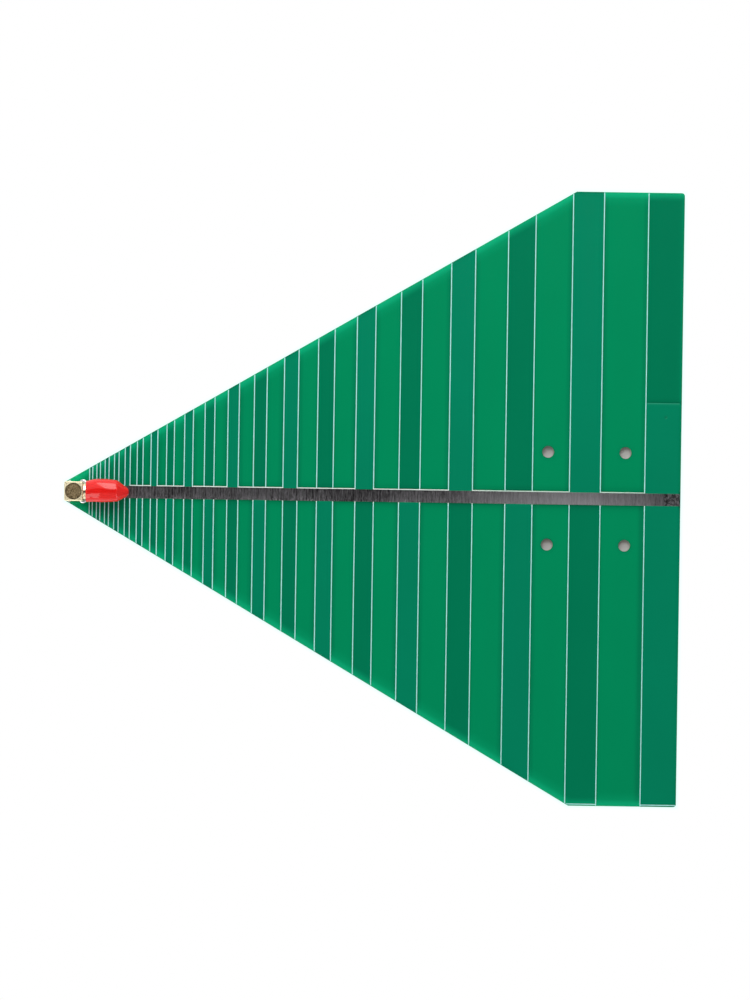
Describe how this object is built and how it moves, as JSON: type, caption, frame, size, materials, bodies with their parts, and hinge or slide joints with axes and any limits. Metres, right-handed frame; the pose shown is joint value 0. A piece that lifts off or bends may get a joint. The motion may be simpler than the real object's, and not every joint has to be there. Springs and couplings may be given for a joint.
{
  "type": "log-periodic antenna",
  "caption": "Wedge-shaped circuit-board log-periodic antenna with etched dipole elements, a tinned boom, mounting holes and a capped right-angle coaxial jack at the tip.",
  "frame": {"origin": "middle of the four mounting holes, on the underside of the laminate", "axes": "+X along the boom from the jack's tip to the wide rear edge, +Z out of the component face, +Y across the boom"},
  "size_m": [0.2005, 0.2, 0.0118],
  "materials": {
    "laminate": "glossy green solder mask on glass-epoxy",
    "masked_copper": "copper foil under green solder mask",
    "tin": "dull tin with cross streaks",
    "ink": "white printing ink",
    "gold": "bright gold plating",
    "lid_brass": "dull brown brass",
    "insulator": "white fluoropolymer",
    "solder": "bright solder",
    "red_vinyl": "glossy soft red vinyl"
  },
  "bodies": {
    "antenna": {"board": "laminate", "front_foil": "masked_copper", "rear_foil": "masked_copper", "rear_ground_pads": "solder", "front_tin": "tin", "rear_tin": "tin", "printed_lines": "ink", "jack_body": "gold", "jack_lid": "lid_brass", "barrel_insulator": "insulator", "pin_insulator": "insulator", "centre_contact": "gold", "centre_pin": "gold", "ground_solder": "solder", "feed_solder": "solder"},
    "cap": {"dust_cap": "red_vinyl"}
  },
  "joints": [
    {"name": "dust_cap_pull", "type": "slide", "parent": "antenna", "child": "cap", "axis": [1, 0, 0], "range_m": [0, 0.014]}
  ]
}
